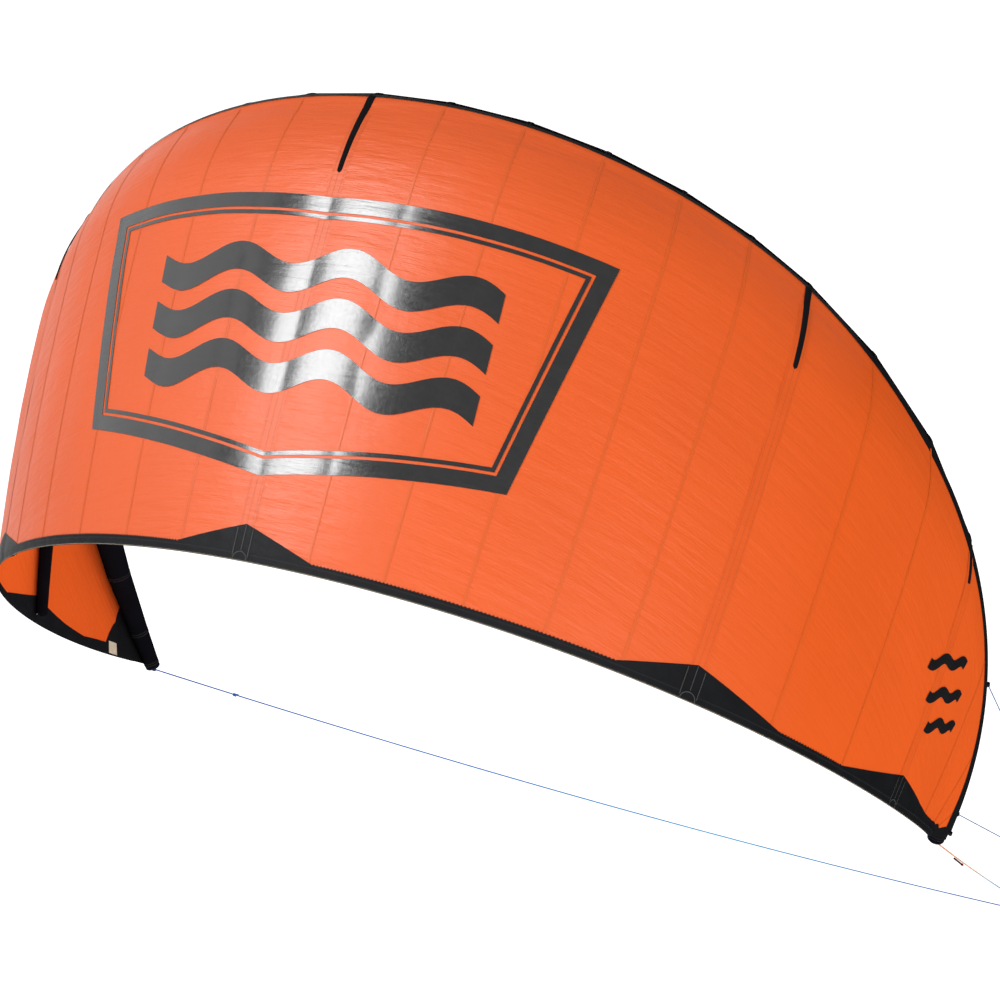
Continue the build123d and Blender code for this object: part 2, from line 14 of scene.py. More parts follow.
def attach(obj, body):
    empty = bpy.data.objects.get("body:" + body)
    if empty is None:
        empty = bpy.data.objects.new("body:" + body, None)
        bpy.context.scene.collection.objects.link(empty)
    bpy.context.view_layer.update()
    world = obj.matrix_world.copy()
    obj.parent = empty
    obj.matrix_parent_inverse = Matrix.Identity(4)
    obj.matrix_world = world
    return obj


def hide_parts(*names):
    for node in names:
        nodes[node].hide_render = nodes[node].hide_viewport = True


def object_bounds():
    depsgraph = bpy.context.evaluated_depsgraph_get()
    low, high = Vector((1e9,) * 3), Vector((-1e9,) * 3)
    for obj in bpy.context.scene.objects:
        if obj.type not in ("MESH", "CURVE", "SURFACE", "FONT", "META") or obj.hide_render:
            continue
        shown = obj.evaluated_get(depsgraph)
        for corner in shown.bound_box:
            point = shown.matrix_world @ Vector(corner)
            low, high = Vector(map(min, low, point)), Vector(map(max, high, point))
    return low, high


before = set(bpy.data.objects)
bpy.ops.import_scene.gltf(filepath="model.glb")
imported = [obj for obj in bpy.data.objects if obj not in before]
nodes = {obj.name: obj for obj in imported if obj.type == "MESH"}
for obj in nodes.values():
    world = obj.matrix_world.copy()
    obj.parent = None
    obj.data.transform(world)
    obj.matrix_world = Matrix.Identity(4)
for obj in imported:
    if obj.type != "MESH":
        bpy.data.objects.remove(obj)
cad_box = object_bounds()

# ---------------------------------------------------------------- the wing's shape, metres
LE_HALF_ARC = 4.560
LE_TURN = math.radians(106.2)
LE_BEND = 1.122
LE_SWEEP = 1.619
LE_SWEEP_POWER = 2.09
LE_RADIUS = 0.094
LE_TIP_RADIUS = 0.041
LE_TAPER_POWER = 5
TE_HALF_ARC = 4.125
TE_TURN = math.radians(99.2)
TE_BEND = 1.152
TE_DROP = 0.173
CENTRE_CHORD = 1.870
TE_SCALLOP = 0.206
TE_SCALLOP_POWER = 4.38
RIB_FAN = 0.866
RIB_FAN_POWER = 3.06
CAMBER = 0.040
CAMBER_TAPER = ((0.0, 1.0), (0.68, 1.0), (0.85, 0.4), (1.0, 0.0))
CAMBER_AT = 0.20
# Share of the half span, and how far the cloth reaches forwards round the tube there, in radians
WRAPS = ((0.0, 0.5), (0.4, 0.45), (0.6, 0.1), (0.75, 0.0), (1.0, 0.0))
WRAP_MELT = 0.006
BILLOW = {"center": 0.014, "mid": 0.009, "tip": 0.0035}
BILLOW_BIAS = 0.6
PANEL_SWELL = 0.003
PRINT_LIFT = 0.0022
FLAP_WIDTHS = ((0.0, 0.016), (0.4, 0.016), (0.65, 0.045), (1.0, 0.055))
CLOTH = 0.0012
HEM_WIDTH = 0.038
ZIGZAG_LENGTH = 0.014
ZIGZAG_HEIGHT = 0.006
STRUT_1 = 0.402
STRUT_2 = 0.675
SEAMS = (0.0, 0.067, 0.137, 0.206, 0.275, 0.341, STRUT_1, 0.483, 0.574, STRUT_2, 0.785, 0.89, 0.96, 1.0)
BAYS = {"center": (0.0, STRUT_1), "mid": (STRUT_1, STRUT_2), "tip": (STRUT_2, 1.0)}
STRUTS = {"center": 0.0, "inner_left": STRUT_1, "inner_right": -STRUT_1,
          "outer_left": STRUT_2, "outer_right": -STRUT_2}
SIDES = {"left": 1, "right": -1}
STRUT_REAR_RADIUS = 0.028
STRUT_RADIUS_PER_CHORD = 0.016
STRUT_GAP = 0.002
STRUT_POINT = 0.001
STRUT_SIDES = 32
TUBE_SIDES = 48
BATTEN_SHARE = {"center": 0.178, "inner": 0.192, "outer": 0.14}
BATTEN_FRONT = 0.9
BATTEN_WIDTH = 0.026
PATCH_LENGTH = 0.098
DISC_RADIUS = 0.034
DISC_STITCH = 0.028
PATCH_SPANS = {"center": (0.070, 0.070), "inner": (0.066, 0.090), "outer": (0.100, 0.125)}
LABEL_WIDTH = 0.069
TIP_MARK = (((0.687, 0.698), (0.641, 0.483)), ((0.756, 0.564), (0.718, 0.2875)))
# Share of the half span, and the share of the chord where the tip's reinforcement begins there
TIP_PATCH_OUTSIDE = ((0.675, 0.893), (0.783, 0.920), (0.811, 0.915), (0.851, 0.899), (0.919, 0.830),
                     (0.971, 0.600), (0.984, 0.0), (1.0, 0.0))
TIP_PATCH_INSIDE = ((0.675, 0.893), (0.804, 0.929), (0.867, 0.88), (0.907, 0.485), (0.927, 0.0), (1.0, 0.0))

# Cord routes, the same points as the CAD's
LEFT_LINE = ((2.229, 1.634, -3.259), (-0.120, 1.477, -5.207), (-2.260, 1.129, -6.895))
RIGHT_LINE = ((-2.229, 1.634, -3.259), (-2.322, 1.540, -4.165), (-2.416, 1.418, -5.077))
LEFT_KNOT = (1.854, 1.6085, -3.570)
TAIL_LENGTH = 0.040
TAIL_BEND = 0.018
LINE_DIAMETER = 0.0075
BRIDLE_STARTS = (Vector((-2.4222, 1.0661, -2.4919)), Vector((-2.3214, 1.5112, -3.1386)))
BRIDLE_MEETING = Vector((-2.836, 1.476, -4.042))
BRIDLE_BOW = Vector((0.0, 0.005, 0.0))
BRIDLE_DIAMETER = 0.005
SHEAVE_WRAP = 0.0125
# Distance from the sleeve's end, and the whipping's radius there
WHIPPING_SECTION = ((-0.016, 0.0050), (-0.0155, 0.0062), (0.0, 0.0062), (0.0005, 0.0030))
SLEEVE_END = (Vector((-2.271, 1.592, -3.722)), Vector((-2.291, 1.572, -3.920)))

# Camera
CAMERA_TARGET = Vector((-0.4417, 1.0442, -1.2598))
CAMERA_AZIMUTH = math.radians(-49.99)
CAMERA_ELEVATION = math.radians(58.98)
CAMERA_ROLL = math.radians(-36.455)
CAMERA_DISTANCE = 7.7101
CAMERA_LENS = 64.64
SENSOR = 36.0


# ---------------------------------------------------------------- shape functions
@lru_cache(maxsize=None)
def arch_point(share, half_arc, turn, bend):
    """Front view x and z at a share of an arch that turns by turn over half_arc (Simpson's rule)."""
    steps = 24
    x = z = 0.0
    for index in range(steps + 1):
        place = share * index / steps
        weight = 1 if index in (0, steps) else 4 if index % 2 else 2
        slope = turn * (bend * place + (1 - bend) * place * place)
        x += weight * math.cos(slope)
        z -= weight * math.sin(slope)
    scale = half_arc * share / (3 * steps)
    return x * scale, z * scale


def side_of(station):
    """1 on the +X half, -1 on the -X half."""
    return -1 if station < 0 else 1


def leading_edge(station):
    """Centre of the leading edge tube."""
    share = abs(station)
    x, z = arch_point(share, LE_HALF_ARC, LE_TURN, LE_BEND)
    return Vector((side_of(station) * x, LE_SWEEP * share**LE_SWEEP_POWER, z))


def trailing_edge(station):
    """Trailing edge of the cloth behind a station."""
    share = abs(station)
    share += RIB_FAN * share**RIB_FAN_POWER * (1 - share)
    x, z = arch_point(share, TE_HALF_ARC, TE_TURN, TE_BEND)
    return Vector((side_of(station) * x, CENTRE_CHORD - TE_SCALLOP * share**TE_SCALLOP_POWER, z - TE_DROP))


def outward(station):
    """Unit vector out of the arch."""
    share = abs(station)
    slope = LE_TURN * (LE_BEND * share + (1 - LE_BEND) * share * share)
    return Vector((side_of(station) * math.sin(slope), 0, math.cos(slope)))


def tube_radius(station):
    """Radius of the leading edge tube."""
    return LE_RADIUS - (LE_RADIUS - LE_TIP_RADIUS) * abs(station) ** LE_TAPER_POWER


@lru_cache(maxsize=None)
def rib(station):
    """Origin, unit vectors along the chord and out of the arch, chord length and tube radius."""
    origin = leading_edge(station)
    chord = trailing_edge(station) - origin
    along = chord.normalized()
    out = outward(station)
    out = (out - along * out.dot(along)).normalized()
    return origin, along, out, chord.length, tube_radius(station)


def panel_at(station):
    """Number of the panel a station is in, and how far across it, from 0 to 1."""
    place = abs(station)
    for number, (first, last) in enumerate(zip(SEAMS, SEAMS[1:])):
        if place <= last:
            return number, (place - first) / (last - first)
    return len(SEAMS) - 2, 1.0


def swell(station, share):
    """How far the cloth stands out: between struts, between panel seams, and in shallow ripples."""
    if share <= 0:
        return 0.0
    place = abs(station)
    bay, (first, last) = next(item for item in BAYS.items() if place <= item[1][1])
    across = math.sin(math.pi * (place - first) / (last - first))
    out = BILLOW[bay] * across * math.sin(math.pi * share**BILLOW_BIAS)
    number, panel_share = panel_at(station)
    along = math.sin(math.pi * min(share, 1.0))
    out += PANEL_SWELL * math.sin(math.pi * panel_share) * along * (1 + 0.3 * math.sin(number * 2.4))
    spot = Vector((station * 10.0, share * rib(station)[3] * 9.0, number * 0.7))
    return out + noise.noise(spot) * 0.0012 * along


def rib_point(station, share):
    """Place of the cloth's underside along and over the chord line, and the lean of its normal.

    A negative share is the part that is wrapped forwards round the tube.
    """
    _, _, _, chord, radius = rib(station)
    lean = max(0.0, -share * chord / radius)
    along = share * chord if share >= 0 else -radius * math.sin(lean)
    place = along / chord
    rest = CAMBER_AT if place < CAMBER_AT else 1 - CAMBER_AT
    camber = CAMBER * broken_line(CAMBER_TAPER, abs(station)) * chord
    height = radius * (1 - place) + camber * (1 - ((CAMBER_AT - place) / rest) ** 2)
    if along < 0.9 * radius:
        circle = math.sqrt(radius**2 - along**2)
        height = (height + circle + math.hypot(height - circle, WRAP_MELT)) / 2
    return along, height, lean


@lru_cache(maxsize=None)
def cloth_point(station, share):
    """Point of the cloth's upper face and the direction it is lifted in."""
    origin, along, out, _, _ = rib(station)
    place, height, lean = rib_point(station, share)
    rise = out * math.cos(lean) - along * math.sin(lean)
    return origin + along * place + out * height + rise * (CLOTH + swell(station, share)), rise


def skin(station, share, lift=0.0):
    """Point of the cloth, lift above its upper face."""
    point, rise = cloth_point(station, share)
    return point + rise * lift


def broken_line(points, place):
    """Height at place of the line through points (place, height)."""
    for (first, low), (last, high) in zip(points, points[1:]):
        if place <= last:
            return low + (high - low) * max(0.0, place - first) / (last - first)
    return points[-1][1]


def front_share(station):
    """Share of the chord, below zero, where the cloth begins on the tube's front."""
    _, _, _, chord, radius = rib(station)
    return -broken_line(WRAPS, abs(station)) * radius / chord


def hem_share(station):
    """Share of the chord where the hem begins."""
    return 1 - HEM_WIDTH / rib(station)[3]


def steps(first, last, count):
    """Evenly spaced values from first to last, both included."""
    return [first + (last - first) * index / (count - 1) for index in range(count)]


# ---------------------------------------------------------------- mesh helpers
def add_object(name, data):
    """A new object in the scene."""
    made = bpy.data.objects.new(name, data)
    bpy.context.scene.collection.objects.link(made)
    return made


def add_piece(name, data, material):
    """A piece of the kite, made of a mesh or a curve."""
    data.materials.append(material)
    piece = add_object(name, data)
    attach(piece, "kite")
    return piece


def ring_round(centre, first, second, radius, sides):
    """Closed ring of points round centre in the plane of two unit vectors, and the turn to each."""
    turns = steps(0.0, 2 * math.pi, sides + 1)
    return [centre + (first * math.cos(turn) + second * math.sin(turn)) * radius for turn in turns], turns


def grid(name, rows, uv_rows, material):
    """Smooth mesh of quads through rows of points, with texture coordinates in metres."""
    width = len(rows[0])
    points = [point for row in rows for point in row]
    faces = []
    corners = []
    for r in range(len(rows) - 1):
        for c in range(width - 1):
            here, below = r * width + c, (r + 1) * width + c
            faces.append((here, here + 1, below + 1, below))
            corners.append(((r, c), (r, c + 1), (r + 1, c + 1), (r + 1, c)))
    mesh = bpy.data.meshes.new(name)
    mesh.from_pydata([tuple(point) for point in points], [], faces)
    layer = mesh.uv_layers.new(name="UVMap")
    for polygon, corner in zip(mesh.polygons, corners):
        polygon.use_smooth = True
        for loop_index, (r, c) in zip(polygon.loop_indices, corner):
            layer.data[loop_index].uv = uv_rows[r][c]
    return add_piece(name, mesh, material)


def skin_normal(station, share):
    """Unit normal of the cloth, out of the arch."""
    small = 0.002
    across = skin(min(station + small, 1.0), share) - skin(max(station - small, -1.0), share)
    along = skin(station, min(share + small, 1.0)) - skin(station, share - small)
    return across.cross(along).normalized()


def ribbon(name, path, width, lift, material, crown=0.0, columns=5, taper=None):
    """Strip of cloth laid along a path of (station, share) points on the skin."""
    centres = [skin(station, share, lift) for station, share in path]
    normals = [skin_normal(station, share) for station, share in path]
    rows, uv_rows, run = [], [], 0.0
    for index, (centre, normal) in enumerate(zip(centres, normals)):
        before = centres[max(index - 1, 0)]
        after = centres[min(index + 1, len(centres) - 1)]
        run += (centre - before).length
        side = normal.cross(after - before).normalized()
        half = width / 2 * (taper(index / (len(path) - 1)) if taper else 1.0)
        row, uv_row = [], []
        for column in range(columns):
            place = 2 * column / (columns - 1) - 1
            rise = crown * math.sqrt(max(0.0, 1 - place * place))
            row.append(centre + side * (half * place) + normal * rise)
            uv_row.append((run, half * place))
        rows.append(row)
        uv_rows.append(uv_row)
    return grid(name, rows, uv_rows, material)


# ---------------------------------------------------------------- shader helpers
# Distances from the middle of the wing where its gloss begins to fade, and where none is left
GLOSS_FULL = 0.45
GLOSS_END = 1.95


class Shader:
    """A material with a few short ways to build its node tree."""

    def __init__(self, name, colour, roughness, **sockets):
        self.material = bpy.data.materials.new(name)
        self.material.use_nodes = True
        self.tree = self.material.node_tree
        self.surface = self.tree.nodes["Principled BSDF"]
        self.set("Base Color", (*colour, 1.0))
        self.set("Roughness", roughness)
        for socket, value in sockets.items():
            self.set(socket.replace("_", " "), value)

    def set(self, socket, value):
        """A constant on the surface shader."""
        self.surface.inputs[socket].default_value = value

    def link(self, output, socket):
        """Drives a socket of the surface shader."""
        self.tree.links.new(output, self.surface.inputs[socket])

    def node(self, kind, **settings):
        """A new node with its settings."""
        made = self.tree.nodes.new(kind)
        for name, value in settings.items():
            setattr(made, name, value)
        return made

    def feed(self, made, index, value):
        """A number or another node's output into an input."""
        if isinstance(value, (int, float, tuple)):
            made.inputs[index].default_value = value
        else:
            self.tree.links.new(value, made.inputs[index])

    def math(self, operation, first, second=0.0, third=0.0):
        """One arithmetic step."""
        made = self.node("ShaderNodeMath", operation=operation)
        self.feed(made, 0, first)
        self.feed(made, 1, second)
        self.feed(made, 2, third)
        return made.outputs[0]

    def metres(self):
        """The cloth's own coordinates in metres: along and across."""
        split = self.node("ShaderNodeSeparateXYZ")
        self.tree.links.new(self.node("ShaderNodeTexCoord").outputs["UV"], split.inputs[0])
        return split.outputs[0], split.outputs[1]

    def place(self):
        """Coordinates of the object itself, in metres."""
        return self.node("ShaderNodeTexCoord").outputs["Object"]

    def combine(self, x, y, z=0.0):
        """A vector from three numbers or outputs."""
        made = self.node("ShaderNodeCombineXYZ")
        for index, value in enumerate((x, y, z)):
            self.feed(made, index, value)
        return made.outputs[0]

    def noise(self, vector, scale, detail=3.0, roughness=0.55):
        """Soft noise from 0 to 1."""
        made = self.node("ShaderNodeTexNoise")
        self.tree.links.new(vector, made.inputs["Vector"])
        made.inputs["Scale"].default_value = scale
        made.inputs["Detail"].default_value = detail
        made.inputs["Roughness"].default_value = roughness
        return made.outputs["Fac"]

    def creases(self, along_scale, across_scale, detail, roughness=0.55, layer=0.0):
        """Noise with a scale of its own along the cloth and across it."""
        along, across = self.metres()
        spot = self.combine(self.math("MULTIPLY", along, along_scale),
                            self.math("MULTIPLY", across, across_scale), layer)
        return self.noise(spot, 1.0, detail, roughness)

    def wave(self, value, length):
        """Triangle wave from 0 to 1 with a wavelength in metres."""
        return self.math("DIVIDE", self.math("PINGPONG", value, length / 2), length / 2)

    def weave(self, along, across, thread):
        """Height of a plain weave."""
        warp = self.math("SINE", self.math("MULTIPLY", along, math.pi / thread))
        weft = self.math("SINE", self.math("MULTIPLY", across, math.pi / thread))
        return self.math("MULTIPLY", warp, weft)

    def bump(self, height, distance, strength=1.0):
        """Bump in metres; a second call stacks on the first."""
        made = self.node("ShaderNodeBump")
        made.inputs["Strength"].default_value = strength
        made.inputs["Distance"].default_value = distance
        self.tree.links.new(height, made.inputs["Height"])
        normal = self.surface.inputs["Normal"]
        if normal.is_linked:
            self.tree.links.new(normal.links[0].from_socket, made.inputs["Normal"])
        self.tree.links.new(made.outputs["Normal"], normal)

    def mix(self, amount, first, second):
        """Blend of two colours."""
        made = self.node("ShaderNodeMix", data_type="RGBA")
        self.feed(made, 0, amount)
        self.feed(made, 6, first if not isinstance(first, tuple) else (*first[:3], 1.0))
        self.feed(made, 7, second if not isinstance(second, tuple) else (*second[:3], 1.0))
        return made.outputs[2]

    def fade_gloss(self, level):
        """Specular level that falls to nothing from the middle of the wing towards the tips."""
        split = self.node("ShaderNodeSeparateXYZ")
        self.tree.links.new(self.place(), split.inputs[0])
        left = self.math("SUBTRACT", GLOSS_END, self.math("ABSOLUTE", split.outputs[0]))
        reach = self.math("DIVIDE", left, GLOSS_END - GLOSS_FULL)
        share = self.math("MINIMUM", self.math("MAXIMUM", reach, 0.0), 1.0)
        self.link(self.math("MULTIPLY", share, level), "Specular IOR Level")

    def zigzag(self, along, across, middle, swing, length, thread):
        """1 on a zigzag stitch line: swing either side of middle."""
        offset = self.math("MULTIPLY", self.math("SUBTRACT", self.wave(along, length), 0.5), 2 * swing)
        gap = self.math("ABSOLUTE", self.math("SUBTRACT", self.math("SUBTRACT", across, middle), offset))
        return self.math("LESS_THAN", gap, thread)

    def stitches(self, along, across, middle, length, thread):
        """1 on the stitches of a straight stitch line."""
        gap = self.math("ABSOLUTE", self.math("SUBTRACT", across, middle))
        line = self.math("LESS_THAN", gap, thread)
        return self.math("MULTIPLY", line, self.math("GREATER_THAN", self.wave(along, length), 0.45))


def any_of(shader, masks):
    """1 where any of the masks is."""
    total = masks[0]
    for mask in masks[1:]:
        total = shader.math("MAXIMUM", total, mask)
    return total


def tone(shader, colour, amount, vector, scale):
    """A colour with soft lighter and darker areas."""
    darker = tuple(channel * (1 - amount) for channel in colour)
    lighter = tuple(min(1.0, channel * (1 + amount)) for channel in colour)
    return shader.mix(shader.noise(vector, scale, 2.0), darker, lighter)


# ---------------------------------------------------------------- materials
ORANGE = (0.79, 0.112, 0.018)
BLACK = (0.010, 0.0105, 0.012)
THREAD_PALE = (0.42, 0.41, 0.38)
THREAD_CREAM = (0.72, 0.62, 0.45)


def make_canopy_cloth():
    """Ripstop: a fine square grid, long shallow wrinkles along the span, and soft variation."""
    cloth = Shader("canopy_cloth", ORANGE, 0.4)
    along, across = cloth.metres()
    cloth.fade_gloss(0.62)
    flat = cloth.combine(along, across)
    ripstop = cloth.math("MAXIMUM", cloth.math("GREATER_THAN", cloth.wave(along, 0.008), 0.9),
                         cloth.math("GREATER_THAN", cloth.wave(across, 0.008), 0.9))
    long_wrinkles = cloth.creases(3.5, 26.0, 4.0, 0.6)
    creases = cloth.creases(9.0, 7.0, 5.0, 0.62, 4.0)
    base = tone(cloth, ORANGE, 0.07, flat, 1.6)
    base = cloth.mix(cloth.math("MULTIPLY", ripstop, 0.16), base, tuple(c * 0.72 for c in ORANGE))
    cloth.link(base, "Base Color")
    cloth.link(cloth.math("ADD", cloth.math("MULTIPLY", creases, 0.14), 0.33), "Roughness")
    cloth.bump(long_wrinkles, 0.010, 0.5)
    cloth.bump(creases, 0.008, 0.4)
    cloth.bump(ripstop, 0.0002, 0.5)
    return cloth.material


def make_seam_cloth():
    """Panel seam: a doubled strip with two rows of stitching."""
    seam = Shader("seam_cloth", ORANGE, 0.42)
    seam.fade_gloss(0.58)
    along, across = seam.metres()
    rows = any_of(seam, [seam.stitches(along, across, side * 0.0035, 0.006, 0.0007) for side in (-1, 1)])
    base = tone(seam, tuple(c * 0.9 for c in ORANGE), 0.06, seam.combine(along, across), 5.0)
    seam.link(seam.mix(rows, base, (0.85, 0.20, 0.03)), "Base Color")
    seam.bump(rows, 0.0005, 0.8)
    return seam.material


def make_strut_seam():
    """Wide doubled band over a strut, with three rows of stitching."""
    band = Shader("strut_seam_cloth", ORANGE, 0.42)
    band.fade_gloss(0.58)
    along, across = band.metres()
    rows = any_of(band, [band.zigzag(along, across, side * 0.024, 0.0022, 0.007, 0.0008)
                         for side in (-1, 0, 1)])
    base = tone(band, tuple(c * 0.95 for c in ORANGE), 0.08, band.combine(along, across), 6.0)
    band.link(band.mix(rows, base, (0.55, 0.10, 0.03)), "Base Color")
    band.bump(band.creases(60.0, 12.0, 3.0), 0.003, 0.6)
    band.bump(rows, 0.0006, 0.8)
    return band.material


def make_black_cloth(name, colour, roughness, thread, stitch_rows=(), wrinkle=0.4, pale=THREAD_PALE,
                     gloss=0.0):
    """Woven sailcloth; stitch_rows holds (kind, middle across) of each row of stitching."""
    cloth = Shader(name, colour, roughness, Specular_IOR_Level=0.0)
    along, across = cloth.metres()
    if gloss:
        cloth.fade_gloss(gloss)
    flat = cloth.combine(along, across)
    base = tone(cloth, colour, 0.3, flat, 9.0)
    if stitch_rows:
        made = [cloth.zigzag(along, across, middle, 0.0025, 0.008, 0.0009) if kind == "zigzag"
                else cloth.stitches(along, across, middle, 0.006, 0.0009) for kind, middle in stitch_rows]
        mask = any_of(cloth, made)
        base = cloth.mix(mask, base, pale)
    cloth.link(base, "Base Color")
    cloth.bump(cloth.creases(14.0, 9.0, 4.0), 0.006, wrinkle)
    cloth.bump(cloth.weave(along, across, thread), 0.0002, 0.6)
    if stitch_rows:
        cloth.bump(mask, 0.0007, 0.8)
    return cloth.material


def make_foil():
    """Glossy black print with a fine crinkle that breaks up its reflections."""
    foil = Shader("foil_print", (0.012, 0.012, 0.013), 0.2, Specular_IOR_Level=0.8,
                  Coat_Weight=1.0, Coat_Roughness=0.12, Coat_IOR=1.5)
    along, across = foil.metres()
    flat = foil.combine(along, across)
    crinkle = foil.noise(flat, 55.0, 4.0, 0.65)
    foil.link(foil.math("ADD", foil.math("MULTIPLY", crinkle, 0.2), 0.12), "Roughness")
    foil.link(tone(foil, (0.012, 0.012, 0.013), 0.5, flat, 20.0), "Base Color")
    foil.bump(foil.creases(3.0, 30.0, 4.0), 0.008, 0.5)
    foil.bump(crinkle, 0.0012, 0.5)
    return foil.material


def make_line(name, bands):
    """Braided line whose colours change with height along its run."""
    line = Shader(name, bands[0][1], 0.55, Specular_IOR_Level=0.3)
    split = line.node("ShaderNodeSeparateXYZ")
    line.tree.links.new(line.place(), split.inputs[0])
    ramp = line.node("ShaderNodeValToRGB")
    low, high = bands[0][0], bands[-1][0]
    span = line.math("DIVIDE", line.math("SUBTRACT", split.outputs[2], low), high - low)
    line.tree.links.new(span, ramp.inputs[0])
    stops = ramp.color_ramp.elements
    while len(stops) < len(bands):
        stops.new(0.5)
    for stop, (height, colour) in zip(stops, bands):
        stop.position = (height - low) / (high - low)
        stop.color = (*colour, 1.0)
    line.link(ramp.outputs[0], "Base Color")
    braid = line.node("ShaderNodeTexWave", wave_type="BANDS", bands_direction="DIAGONAL")
    line.tree.links.new(line.place(), braid.inputs["Vector"])
    braid.inputs["Scale"].default_value = 400.0
    braid.inputs["Distortion"].default_value = 1.5
    line.bump(braid.outputs["Fac"], 0.0004, 0.7)
    return line.material


def make_moulded(name, colour, roughness, grain, **sockets):
    """Moulded plastic, rubber or metal with a fine surface grain."""
    part = Shader(name, colour, roughness, **sockets)
    place = part.place()
    part.link(tone(part, colour, 0.12, place, 30.0), "Base Color")
    part.bump(part.noise(place, grain, 3.0), 0.0002, 0.5)
    return part.material


def make_plain_weave(name, colour, roughness, ridges):
    """Webbing or cloth on a piece without its own coordinates."""
    part = Shader(name, colour, roughness, Specular_IOR_Level=0.0)
    place = part.place()
    rib_wave = part.node("ShaderNodeTexWave", wave_type="BANDS", bands_direction="Z")
    part.tree.links.new(place, rib_wave.inputs["Vector"])
    rib_wave.inputs["Scale"].default_value = ridges
    part.link(tone(part, colour, 0.25, place, 40.0), "Base Color")
    part.bump(rib_wave.outputs["Fac"], 0.0004, 0.6)
    part.bump(part.noise(place, 300.0, 2.0), 0.0003, 0.4)
    return part.material


CANOPY = make_canopy_cloth()
SEAM = make_seam_cloth()
STRUT_SEAM = make_strut_seam()
FOIL = make_foil()
HEM = make_black_cloth("hem_cloth", BLACK, 0.42, 0.0016, (("zigzag", 0.010), ("straight", 0.031)), 0.7,
                       (0.035, 0.035, 0.036), 0.15)
PATCH = make_black_cloth("patch_cloth", BLACK, 0.38, 0.0016, (), 0.9, gloss=0.15)
TUBE = make_black_cloth("tube_cloth", (0.005, 0.005, 0.007), 0.55, 0.0020, (("straight", 0.0),), 0.25)
STRUT = make_black_cloth("strut_cloth", (0.005, 0.005, 0.007), 0.55, 0.0020, (), 0.3)
TAPE = make_black_cloth("tape_cloth", (0.006, 0.006, 0.007), 0.5, 0.0016,
                        (("zigzag", -0.006), ("zigzag", 0.006)), 0.2, (0.05, 0.05, 0.055))
THREAD_EDGE = make_black_cloth("edge_thread", BLACK, 0.6, 0.0016, (("straight", 0.0),), 0.1, THREAD_CREAM)
BATTEN = make_black_cloth("batten_cloth", (0.010, 0.010, 0.011), 0.28, 0.0014, (), 0.15)
MARK = make_black_cloth("mark_print", (0.012, 0.012, 0.013), 0.3, 0.0014, (), 0.1)
STITCH_ROW = make_black_cloth("stitch_row", BLACK, 0.45, 0.0016, (("straight", 0.0),), 0.3,
                              (0.22, 0.22, 0.21), 0.15)
LINE_BLUE = make_line("line_blue", ((-6.9, (0.03, 0.13, 0.60)), (-5.6, (0.0, 0.45, 0.90)),
                                    (-4.6, (0.0, 0.22, 0.80)), (-3.2, (0.0, 0.10, 0.55))))
LINE_ORANGE = make_line("line_orange", ((-5.1, (0.04, 0.20, 0.46)), (-4.6, (0.32, 0.52, 0.66)),
                                        (-4.1, (0.78, 0.46, 0.30)), (-3.2, (0.80, 0.20, 0.04))))
LINE_STEEL = make_line("line_steel", ((-4.1, (0.04, 0.14, 0.36)), (-2.4, (0.06, 0.18, 0.40))))
WEBBING = make_plain_weave("webbing", (0.02, 0.02, 0.024), 0.55, 260.0)
TIP_CLOTH = make_plain_weave("tip_cloth", (0.012, 0.016, 0.035), 0.45, 300.0)
SLEEVING = make_plain_weave("sleeving", (0.015, 0.015, 0.017), 0.6, 400.0)
WHIPPING = make_plain_weave("whipping", (0.55, 0.02, 0.015), 0.55, 600.0)
LABEL = make_plain_weave("label_cloth", (0.62, 0.55, 0.42), 0.7, 200.0)
PLASTIC = make_moulded("moulded_black", (0.03, 0.03, 0.033), 0.4, 500.0)
RUBBER = make_moulded("rubber_black", (0.02, 0.02, 0.02), 0.65, 700.0)
NYLON = make_moulded("sheave_nylon", (0.05, 0.05, 0.05), 0.35, 400.0)
METAL = make_moulded("brushed_metal", (0.58, 0.59, 0.61), 0.28, 900.0, Metallic=1.0)
FILM = make_moulded("bladder_film", (0.72, 0.74, 0.73), 0.3, 60.0)


# ---------------------------------------------------------------- canopy
def canopy_bay(name, first, last):
    """The cloth between two struts, wrapped round the tube in front and swelling between its seams."""
    low, high = sorted((abs(first), abs(last)))
    side = side_of(first + last)
    stations = []
    for start, end in zip(SEAMS, SEAMS[1:]):
        if low <= start < high:
            count = max(4, round((end - start) * LE_HALF_ARC / 0.035))
            stations += [side * place for place in steps(start, end, count + 1)[:-1]]
    stations.append(side * high)
    rows, uv_rows = [], []
    for station in stations:
        chord = rib(station)[3]
        front = front_share(station)
        middle = max(0.0, front) + 0.06
        shares = steps(front, middle, 12)[:-1] + steps(middle, hem_share(station), 69)
        rows.append([skin(station, share, -CLOTH / 2) for share in shares])
        uv_rows.append([(station * LE_HALF_ARC, share * chord) for share in shares])
    piece = grid(name.replace("canopy", "cloth"), rows, uv_rows, CANOPY)
    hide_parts(name)
    length = max(rib(side * low)[3], rib(side * high)[3])


def chordwise_seams():
    """Stitched seams between the canopy's panels."""
    for side_name, side in SIDES.items():
        for number, seam in enumerate(SEAMS[1:-1]):
            if seam in STRUTS.values():
                continue
            station = side * seam
            path = [(station, share) for share in steps(front_share(station), hem_share(station), 60)]
            ribbon(f"panel_seam_{side_name}_{number}", path, 0.011, 0.0006, SEAM, 0.0004)


def strut_seams():
    """Doubled bands where the canopy is sewn to the struts."""
    for strut_name, station in STRUTS.items():
        path = [(station, share * hem_share(station)) for share in steps(0.03, 0.995, 60)]
        ribbon(f"strut_seam_{strut_name}", path, 0.066, 0.0009, STRUT_SEAM, 0.0003, 9)


